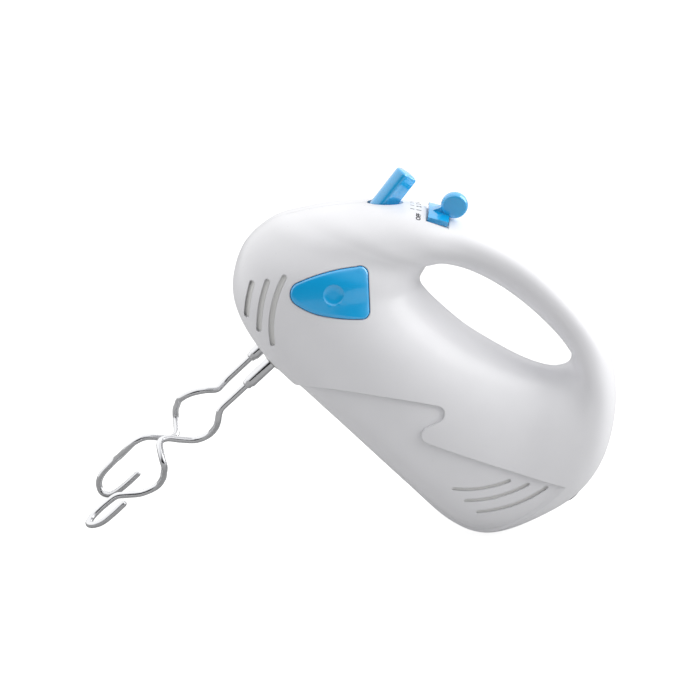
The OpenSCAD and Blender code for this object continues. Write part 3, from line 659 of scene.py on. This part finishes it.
left_shell = copy_of(shell, "housing_shell_left", Matrix.Scale(-1, 4, (0, 1, 0)))
right_shell = copy_of(shell, "housing_shell_right")
bpy.data.objects.remove(shell)
posts_right, posts_left = [], []
for x, z, seat, tip in SCREWS:
    posts_right.append(combine(pin("post", x, z, 4.4, 0, 60), [inside], "INTERSECT", keep=True))
    posts_left.append(combine(pin("post", x, z, 3.6, 0.2, 60), [inside], "INTERSECT", keep=True))
for post in posts_left:
    post.data.transform(Matrix.Scale(-1, 4, (0, 1, 0)))
    post.data.flip_normals()
combine(left_shell, posts_left, "UNION")
combine(left_shell, [pin("hole", x, z, 1.5, tip - 1, 1) for x, z, seat, tip in SCREWS])
combine(right_shell, posts_right, "UNION")
combine(right_shell, [pin("hole", x, z, 1.7, -1, 60) for x, z, seat, tip in SCREWS])
combine(right_shell, [pin("counterbore", x, z, 3.3, seat, 60) for x, z, seat, tip in SCREWS])
place(left_shell, BODY, "housing", "white_housing", ["housing_left"])
place(right_shell, BODY, "housing", "white_housing", ["housing_right"])

# %% [markdown]
# Behind each group of slots lies a dust screen. Pads on the screens fill the slots up to
# a millimetre below the skin, so the slots look shallow and pale.

# %% Pads of the dust screens
NOSE_PADS, HEEL_PADS = 1.0, PANEL_STEP + 1.0
pads = [prism("pad", vent_outline(p, q, bow, width - 0.06), 8, 48) for p, q, bow, width in VENTS]
for pad, (start, *_) in zip(pads, VENTS):
    depth = NOSE_PADS if start[0] < 0 else HEEL_PADS
    combine(pad, [half_solid("pad_top", depth)], "INTERSECT")
    combine(pad, [half_solid("pad_back", WALL - 0.05)])
pad_set = pads[0]
combine(pad_set, pads[1:], "UNION")
pad_left = copy_of(pad_set, "screen_pads_left", Matrix.Scale(-1, 4, (0, 1, 0)))
pad_set.name = "screen_pads_right"
place(pad_set, BODY, "housing", "inner_white")
place(pad_left, BODY, "housing", "inner_white")

# %% [markdown]
# The badge is its own moulding. It stands half a millimetre proud of the white skin, with a
# soft slope along its rim, a flange that fills the gap below, and a shallow round dish.

# %% Badges
skin_solid = half_solid("skin_solid", 0)
SKIN_TREE = BVHTree.FromPolygons([v.co for v in skin_solid.data.vertices],
                                 [p.vertices for p in skin_solid.data.polygons])
bpy.data.objects.remove(skin_solid)


def on_skin(x, z, height=0.0):
    """The point of the right flank at a place in the side view, and the way it faces."""
    point, normal, _, _ = SKIN_TREE.ray_cast(Vector((x, 90, z)), Vector((0, -1, 0)))
    return point + Vector((0, height, 0)), normal if normal.y > 0 else -normal


rim = [(0.28, 0.1 - BADGE_RECESS), (0.28, -0.75), (0, -0.75), (0, -0.1), (-0.06, 0.08),
       (-0.2, 0.25), (-0.38, 0.38), (-0.56, 0.46), (-0.75, 0.5)]
middle = Vector((-3.5, 44.5))
points, loops = [], 0
for grow, height in rim:
    points += [on_skin(x, z, height)[0] for x, z in badge_outline(grow)]
    loops += 1
inner_edge = [Vector(p) for p in badge_outline(rim[-1][0])]
for share in (0.9, 0.8, 0.7, 0.6, 0.5, 0.4, 0.3, 0.2, 0.1):
    points += [on_skin(*(middle + (p - middle) * share), 0.5)[0] for p in inner_edge]
    loops += 1
n = len(inner_edge)
points.append(on_skin(*middle, 0.5)[0])
faces = [(j * n + i, j * n + (i + 1) % n, (j + 1) * n + (i + 1) % n, (j + 1) * n + i)
         for j in range(loops - 1) for i in range(n)]
faces += [((loops - 1) * n + i, (loops - 1) * n + (i + 1) % n, len(points) - 1) for i in range(n)]
points.append(on_skin(*middle, rim[0][1])[0])
faces += [((i + 1) % n, i, len(points) - 1) for i in range(n)]
badge = solid_from("badge", points, faces)
dish = [(0, -0.55)] + [(4.7 * s, -0.55 * (1 - s ** 6)) for s in np.linspace(0.1, 1, 14)]
dish += [(4.7, 4), (0, 4)]
dish_centre, dish_normal = on_skin(-4.2, 43.9, 0.5)
dish_place = (Matrix.Translation(dish_centre - dish_normal * 0.05)
              @ dish_normal.to_track_quat("Z", "Y").to_matrix().to_4x4())
combine(badge, [turned("dish", dish, 96, dish_place)])
left_badge = copy_of(badge, "badge_cap_left", Matrix.Scale(-1, 4, (0, 1, 0)))
badge.name = "badge_cap_right"
place(badge, BODY, "housing", "blue_plastic", ["badge_right"])
place(left_badge, BODY, "housing", "blue_plastic", ["badge_left"])

# %% [markdown]
# ## Controls
# The release button is a column with a D-shaped section, so that it can't turn in its
# well. Its outline is smoothed, then carried up the column and drawn in over the top.

# %% Release button
BUTTON_RADIUS = 5.3
BUTTON_FLAT = 3.6
BUTTON_TOP = 15.5
FLAT_TURN = radians(-50)
ring_points = []
for k in range(120):
    angle = 2 * pi * k / 120
    p = Vector((BUTTON_RADIUS * cos(angle), BUTTON_RADIUS * sin(angle)))
    p.x = min(p.x, BUTTON_FLAT)
    ring_points.append(p)
for _ in range(10):
    ring_points = [(ring_points[i - 1] + p * 2 + ring_points[(i + 1) % 120]) / 4
                   for i, p in enumerate(ring_points)]
levels = [(-20, 0), (-19.6, 0), (8, 0)]
EDGE = 1.3
levels += [(BUTTON_TOP - 0.45 - EDGE * (1 - sin(t)), EDGE * (1 - cos(t)))
           for t in np.linspace(0, pi / 2, 8)]
levels += [(BUTTON_TOP - 0.45 + 0.45 * (1 - (1 - s) ** 2), EDGE + s * (BUTTON_FLAT - EDGE))
           for s in (0.15, 0.35, 0.6, 0.85)]
points, faces = [], []
for z, inset in levels:
    for p in ring_points:
        points.append((*(p * (1 - inset / BUTTON_RADIUS * 1.2)), z) if inset > EDGE
                      else (*(p - p.normalized() * inset), z))
n = len(ring_points)
points += [(0, 0, -20), (0, 0, BUTTON_TOP)]
for j in range(len(levels) - 1):
    faces += [(j * n + i, j * n + (i + 1) % n, (j + 1) * n + (i + 1) % n, (j + 1) * n + i)
              for i in range(n)]
top = (len(levels) - 1) * n
faces += [((i + 1) % n, i, len(points) - 2) for i in range(n)]
faces += [(top + i, top + (i + 1) % n, len(points) - 1) for i in range(n)]
button = solid_from("release_cap", points, faces)
button.data.transform(Matrix.Rotation(FLAT_TURN, 4, "Z"))
foot = turned("foot", [(0, -25)] + [(3 * sin(t), -22 - 3 * cos(t)) for t in np.linspace(0.2, pi / 2, 9)]
              + [(3, -19.5), (0, -19.5)], 48)
combine(button, [foot], "UNION")
place(button, BODY @ BUTTON_IN_BODY, "release_button", "blue_plastic", ["ejector_button"])

# %% [markdown]
# The speed lever is one moulding: a curved saddle that slides in the seat of the housing,
# a thin fin that leans back over it, and a round knob on the fin.

# %% Speed lever
KNOB_RADIUS = 6.0
KNOB_HALF = 2.6
saddle = sector("speed_lever_cap", 30.6, 33.2, -14, 14, -5.2, 4.2, 28)
neck = sector("neck", 26.4, 31.2, -2.5, 2.5, -1.8, 1.8, 8)
fin = prism("fin", rounded([(-5, 31.2), (3.9, 31.2), (3.9, 32.6), (7, 34), (6, 40), (1.2, 39.2),
                            (-0.4, 35.2), (-3.2, 33.4)], 1.1), -1.6, 1.6)
knob_edge = [(KNOB_RADIUS - 1.5 + 1.5 * cos(t) ** 0.8, (KNOB_HALF) * sin(t) ** 0.9)
             for t in np.linspace(0, pi / 2 - 0.02, 12)]
knob_face = [(KNOB_RADIUS - 1.6, KNOB_HALF), (3, KNOB_HALF + 0.12), (0, KNOB_HALF + 0.18)]
knob_profile = [(0, -KNOB_HALF - 0.18), (3, -KNOB_HALF - 0.12)]
knob_profile += [(r, -z) for r, z in knob_edge[::-1]] + knob_edge[1:] + knob_face[1:]
knob = turned("knob", knob_profile, 96, Matrix.Translation((5.3, 0, 37.4)) @ ALONG_Y)
combine(saddle, [fin, knob, neck], "UNION")
place(saddle, BODY @ LEVER_IN_BODY @ LEVER_AT_OFF, "speed_control", "blue_plastic", ["speed_lever"])

# %% [markdown]
# The dial between the button and the lever is printed on the crown. It is drawn flat,
# then a Geometry Nodes tree bends it round the crown and drops every point on the white
# skin with a ray, so that it lies on the surface wherever that goes.

# %% A tree that lays print on the crown
def new_tree(name, inputs):
    """An empty Geometry Nodes tree with a geometry socket and named inputs."""
    tree = bpy.data.node_groups.new(name, "GeometryNodeTree")
    tree.interface.new_socket("Geometry", in_out="INPUT", socket_type="NodeSocketGeometry")
    for label, kind in inputs:
        tree.interface.new_socket(label, in_out="INPUT", socket_type=kind)
    tree.interface.new_socket("Geometry", in_out="OUTPUT", socket_type="NodeSocketGeometry")
    return tree, tree.nodes.new("NodeGroupInput"), tree.nodes.new("NodeGroupOutput")


def run_tree(piece, tree, values):
    """Puts a tree on a piece with its input values, and keeps the result as plain mesh."""
    step = piece.modifiers.new(tree.name, "NODES")
    step.node_group = tree
    for item in tree.interface.items_tree:
        if item.in_out == "INPUT" and item.name in values:
            step[item.identifier] = values[item.name]
    return baked(piece)


crown_print, given, out = new_tree("crown_print", [
    ("Housing", "NodeSocketObject"), ("Wrap Radius", "NodeSocketFloat"),
    ("Lift", "NodeSocketFloat"), ("Ink", "NodeSocketMaterial")])
new, link = crown_print.nodes.new, crown_print.links.new
fine = new("GeometryNodeSubdivideMesh")
fine.inputs["Level"].default_value = 2
link(given.outputs["Geometry"], fine.inputs["Mesh"])
where = new("GeometryNodeInputPosition")
split = new("ShaderNodeSeparateXYZ")
link(where.outputs[0], split.inputs[0])
angle = new("ShaderNodeMath")
angle.operation = "DIVIDE"
link(split.outputs["Y"], angle.inputs[0])
link(given.outputs["Wrap Radius"], angle.inputs[1])
sine, cosine = new("ShaderNodeMath"), new("ShaderNodeMath")
sine.operation, cosine.operation = "SINE", "COSINE"
link(angle.outputs[0], sine.inputs[0])
link(angle.outputs[0], cosine.inputs[0])
inward = new("ShaderNodeCombineXYZ")
down_y, down_z = new("ShaderNodeMath"), new("ShaderNodeMath")
down_y.operation = down_z.operation = "MULTIPLY"
down_y.inputs[1].default_value = down_z.inputs[1].default_value = -1
link(sine.outputs[0], down_y.inputs[0])
link(cosine.outputs[0], down_z.inputs[0])
link(down_y.outputs[0], inward.inputs["Y"])
link(down_z.outputs[0], inward.inputs["Z"])
start = new("ShaderNodeVectorMath")
start.operation = "MULTIPLY_ADD"
START_ABOVE = -46.0
start.inputs[1].default_value = (START_ABOVE,) * 3
base = new("ShaderNodeCombineXYZ")
link(split.outputs["X"], base.inputs["X"])
link(inward.outputs[0], start.inputs[0])
link(base.outputs[0], start.inputs[2])
other = new("GeometryNodeObjectInfo")
link(given.outputs["Housing"], other.inputs["Object"])
ray = new("GeometryNodeRaycast")
ray.inputs["Ray Length"].default_value = 100.0
link(other.outputs["Geometry"], ray.inputs["Target Geometry"])
link(start.outputs[0], ray.inputs["Source Position"])
link(inward.outputs[0], ray.inputs["Ray Direction"])
raised = new("ShaderNodeVectorMath")
raised.operation = "SCALE"
link(ray.outputs["Hit Normal"], raised.inputs[0])
link(given.outputs["Lift"], raised.inputs["Scale"])
landed = new("ShaderNodeVectorMath")
link(ray.outputs["Hit Position"], landed.inputs[0])
link(raised.outputs[0], landed.inputs[1])
settle = new("GeometryNodeSetPosition")
link(fine.outputs[0], settle.inputs["Geometry"])
link(landed.outputs[0], settle.inputs["Position"])
real = new("GeometryNodeRealizeInstances")
ink = new("GeometryNodeSetMaterial")
link(settle.outputs[0], real.inputs[0])
link(real.outputs[0], ink.inputs["Geometry"])
link(given.outputs["Ink"], ink.inputs["Material"])
link(ink.outputs[0], out.inputs[0])
print("nodes in the crown print:", len(crown_print.nodes))

# %% Print of the speed scale
MARKS = (("OFF", 27), ("1", 15.5), ("2", 6), ("3", -3), ("4", -12), ("5", -20.5))
TICK_FROM, TICK_TO, TICK_WIDE = -13.2, -11.4, 0.55
DIGIT_AT = -9.2
ARC = 30.2
flat_points, flat_faces = [], []
for label, angle_of in MARKS:
    along = radians(angle_of) * ARC
    text = bpy.data.curves.new("mark_" + label, "FONT")
    text.body = label
    text.size = 2.9 if label == "OFF" else 3.0
    text.offset = 0.12
    text.align_x, text.align_y = "CENTER", "CENTER"
    text.resolution_u = 3
    holder = bpy.data.objects.new("mark", text)
    bpy.context.scene.collection.objects.link(holder)
    graph = bpy.context.evaluated_depsgraph_get()
    graph.update()
    flat = bpy.data.meshes.new_from_object(holder.evaluated_get(graph), depsgraph=graph)
    bpy.data.objects.remove(holder)
    first = len(flat_points)
    flat_points += [(DIGIT_AT - v.co.y, along - v.co.x, 0) for v in flat.vertices]
    flat_faces += [[first + k for k in f.vertices] for f in flat.polygons]
    if label != "OFF":
        first = len(flat_points)
        flat_points += [(x, along + y, 0) for x, y in (
            (TICK_FROM, -TICK_WIDE / 2), (TICK_TO, -TICK_WIDE / 2),
            (TICK_TO, TICK_WIDE / 2), (TICK_FROM, TICK_WIDE / 2))]
        flat_faces.append([first, first + 1, first + 2, first + 3])
scale_mesh = bpy.data.meshes.new("speed_scale")
scale_mesh.from_pydata(flat_points, [], flat_faces)
scale = bpy.data.objects.new("speed_scale", scale_mesh)
bpy.context.scene.collection.objects.link(scale)
to_lever = (BODY @ LEVER_IN_BODY).inverted()
crown = copy_of(left_shell, "crown_target", to_lever)
crown_right = copy_of(right_shell, "crown_target_right", to_lever)
work = bmesh.new()
work.from_mesh(crown.data)
work.from_mesh(crown_right.data)
work.to_mesh(crown.data)
work.free()
bpy.data.objects.remove(crown_right)
run_tree(scale, crown_print, {"Housing": crown, "Wrap Radius": -ARC, "Lift": 0.04, "Ink": PRINT})
bpy.data.objects.remove(crown)
work = bmesh.new()
work.from_mesh(scale.data)
work.normal_update()
for face in work.faces:
    middle_of = face.calc_center_median()
    if face.normal.dot(Vector((0, middle_of.y, middle_of.z))) < 0:
        face.normal_flip()
work.to_mesh(scale.data)
work.free()
scale.data.transform(BODY @ LEVER_IN_BODY)
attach(scale, "housing")
print("speed scale faces", len(scale.data.polygons))

# %% [markdown]
# ## Beaters
# Each dough hook is one bent wire. Its course is a short list of points below the shank.
# A Geometry Nodes tree turns them into a smooth curve and sweeps a round section along
# it, with a ball at the free end, so the same tree makes both hooks.

# %% A tree that bends wire
wire_tree, given, out = new_tree("bent_wire", [
    ("Radius", "NodeSocketFloat"), ("Step", "NodeSocketFloat"), ("Metal", "NodeSocketMaterial")])
new, link = wire_tree.nodes.new, wire_tree.links.new
course = new("GeometryNodeMeshToCurve")
link(given.outputs["Geometry"], course.inputs[0])
smooth = new("GeometryNodeCurveSplineType")
smooth.spline_type = "CATMULL_ROM"
link(course.outputs[0], smooth.inputs["Curve"])
many = new("GeometryNodeSetSplineResolution")
many.inputs["Resolution"].default_value = 16
link(smooth.outputs[0], many.inputs["Geometry"])
stepped = new("GeometryNodeResampleCurve")
stepped.mode = "LENGTH"
link(many.outputs[0], stepped.inputs["Curve"])
link(given.outputs["Step"], stepped.inputs["Length"])
section = new("GeometryNodeCurvePrimitiveCircle")
section.inputs["Resolution"].default_value = 28
link(given.outputs["Radius"], section.inputs["Radius"])
sweep = new("GeometryNodeCurveToMesh")
sweep.inputs["Fill Caps"].default_value = True
link(stepped.outputs[0], sweep.inputs["Curve"])
link(section.outputs[0], sweep.inputs["Profile Curve"])
ends = new("GeometryNodeCurveEndpointSelection")
ends.inputs["Start Size"].default_value = 0
ends.inputs["End Size"].default_value = 1
ball = new("GeometryNodeMeshUVSphere")
ball.inputs["Segments"].default_value = 28
ball.inputs["Rings"].default_value = 14
link(given.outputs["Radius"], ball.inputs["Radius"])
tip = new("GeometryNodeInstanceOnPoints")
link(stepped.outputs[0], tip.inputs["Points"])
link(ends.outputs[0], tip.inputs["Selection"])
link(ball.outputs["Mesh"], tip.inputs["Instance"])
both = new("GeometryNodeJoinGeometry")
link(sweep.outputs[0], both.inputs[0])
link(tip.outputs[0], both.inputs[0])
real = new("GeometryNodeRealizeInstances")
link(both.outputs[0], real.inputs[0])
plate = new("GeometryNodeSetMaterial")
link(real.outputs[0], plate.inputs["Geometry"])
link(given.outputs["Metal"], plate.inputs["Material"])
link(plate.outputs[0], out.inputs[0])
print("nodes in the wire tree:", len(wire_tree.nodes))

# %% Dough hooks
HOOK_COURSE = ((0, 0, 0), (0, 0, 8), (0, 0, 15), (1, 0, 18), (3.5, -0.5, 21.5), (5.6, -4.5, 25.5),
               (6.5, -8, 31), (4.5, -9, 37), (-1, -7, 41.5), (-6, -5, 45), (-7, -2, 48),
               (-2, 2.2, 51), (1.5, 2.6, 53), (4.2, -1.5, 56.5), (6.8, -7, 60.5), (8, -9.5, 66),
               (5.5, -9, 73), (1, -8.2, 78.5), (-1.7, -7.9, 82), (-2.4, -7.6, 87), (-2.7, -7, 92),
               (-2.8, -5, 96), (-2.4, -1, 98.2), (-1, 2.2, 96), (0.6, 3.4, 91.5), (1, 3.8, 85),
               (1, 3.8, 78.5))
WIRE_RADIUS = 1.5
SPINDLE_GAP = 44


def bent_wire(name, points, radius, body, slot, stands_for, step=0.9):
    """A wire along points of the spindle frame."""
    mesh = bpy.data.meshes.new(name)
    mesh.from_pydata(points, [(i, i + 1) for i in range(len(points) - 1)], [])
    piece = bpy.data.objects.new(name, mesh)
    bpy.context.scene.collection.objects.link(piece)
    run_tree(piece, wire_tree, {"Radius": radius, "Step": step, "Metal": FINISH[slot]})
    return place(piece, SPINDLE, body, slot, stands_for, crease=60)


bent_wire("hook_wire_left", [(p, -SPINDLE_GAP / 2 - q, -16 - t) for p, q, t in HOOK_COURSE],
          WIRE_RADIUS, "left_beater", "chrome_wire", ["dough_hook_left"])
bent_wire("hook_wire_right", [(q, SPINDLE_GAP / 2 - p, -16 - t) for p, q, t in HOOK_COURSE],
          WIRE_RADIUS, "right_beater", "chrome_wire", ["dough_hook_right"])

# %% [markdown]
# The wire is crimped into a thicker shank. The shank has two pressed ears that drop into
# the slots of the spindle and a rounded groove for the spring catch.

# %% Shanks
SHANK_RADIUS = 2.8
shank_profile = [(0, -16.4), (1.75, -16.4), (2.1, -16.1), (2.25, -15.6), (2.35, -14.6), (2.8, -13.8),
                 (SHANK_RADIUS, -13), (SHANK_RADIUS, 13.2), (2.45, 13.7), (2.45, 15.1),
                 (SHANK_RADIUS, 15.6), (SHANK_RADIUS, 22.9), (2.5, 23.6), (2.0, 23.95), (0, 23.95)]
for side, y, body in (("left", -SPINDLE_GAP / 2, "left_beater"),
                      ("right", SPINDLE_GAP / 2, "right_beater")):
    shank = turned("shank_" + side, shank_profile, 64, Matrix.Translation((0, y, 0)))
    ears = prism("ears", rounded([(-4, 2), (4, 2), (4, 6), (-4, 6)], 1.0), y - 0.6, y + 0.6)
    combine(shank, [ears], "UNION")
    place(shank, SPINDLE, body, "chrome_wire", ["hook_shank_" + side], crease=40)

# %% [markdown]
# ## Screws
# One screw is modelled with a domed head and a cross recess. A Geometry Nodes tree sets
# it on the six places, and a second shape, the threaded part, is stretched to the depth
# that each place asks for.

# %% Housing screws
head = turned("screw_head", [(0, 0), (3, 0), (3, 0.7)] + [(3 * cos(t), 0.7 + 1.5 * sin(t))
              for t in np.linspace(0.15, pi / 2, 8)], 48)
cross = [prism("cross", [(-w, -h), (w, -h), (w, h), (-w, h)], 0.9, 4, axis="Z")
         for w, h in ((1.7, 0.32), (0.32, 1.7))]
combine(head, cross)
thread = turned("screw_thread", [(0, 0)] + [(1.45 if k % 2 else 1.1, k / 40) for k in range(1, 39)]
                + [(0.4, 1), (0, 1)], 20)
screw_tree, given, out = new_tree("screws_at_places", [
    ("Head", "NodeSocketObject"), ("Thread", "NodeSocketObject"), ("Metal", "NodeSocketMaterial")])
new, link = screw_tree.nodes.new, screw_tree.links.new
parts = []
for label in ("Head", "Thread"):
    shape = new("GeometryNodeObjectInfo")
    link(given.outputs[label], shape.inputs["Object"])
    copies = new("GeometryNodeInstanceOnPoints")
    link(given.outputs["Geometry"], copies.inputs["Points"])
    link(shape.outputs["Geometry"], copies.inputs["Instance"])
    parts.append(copies)
reach = new("GeometryNodeInputNamedAttribute")
reach.data_type = "FLOAT_VECTOR"
reach.inputs["Name"].default_value = "reach"
link(reach.outputs["Attribute"], parts[1].inputs["Scale"])
both = new("GeometryNodeJoinGeometry")
real = new("GeometryNodeRealizeInstances")
plate = new("GeometryNodeSetMaterial")
for copies in parts:
    link(copies.outputs[0], both.inputs[0])
link(both.outputs[0], real.inputs[0])
link(real.outputs[0], plate.inputs["Geometry"])
link(given.outputs["Metal"], plate.inputs["Material"])
link(plate.outputs[0], out.inputs[0])
places = bpy.data.meshes.new("housing_screw_set")
places.from_pydata([(x, -z, seat) for x, z, seat, tip in SCREWS], [], [])
stretch = places.attributes.new("reach", "FLOAT_VECTOR", "POINT")
for k, (x, z, seat, tip) in enumerate(SCREWS):
    stretch.data[k].vector = (1, 1, tip - seat)
screws = bpy.data.objects.new("housing_screw_set", places)
bpy.context.scene.collection.objects.link(screws)
run_tree(screws, screw_tree, {"Head": head, "Thread": thread, "Metal": FINISH["plain_steel"]})
for template in (head, thread):
    bpy.data.objects.remove(template)
work = bmesh.new()
work.from_mesh(screws.data)
bmesh.ops.recalc_face_normals(work, faces=work.faces)
work.to_mesh(screws.data)
work.free()
place(screws, BODY @ ALONG_Y, "housing", "plain_steel", ["housing_screws"])

# %% [markdown]
# The cord comes out through a rubber gland at the heel. It has a lip outside and a soft
# rounded mouth, so that the cord can bend there.

# %% Cord gland
gland = turned("gland_ring", [(3.5, 138), (6.5, 138), (6.5, 146.6), (6.1, 147.4), (5.3, 147.9),
                              (4.5, 147.8), (3.9, 147.2), (3.5, 146.2)], 72,
               Matrix.Translation((0, 0, 46)) @ Matrix.Rotation(pi / 2, 4, "Y"))
place(gland, BODY, "housing", "grey_rubber", ["cord_gland"])

# %% [markdown]
# Last, the helper solid goes.

# %% Finish
bpy.data.objects.remove(inside)
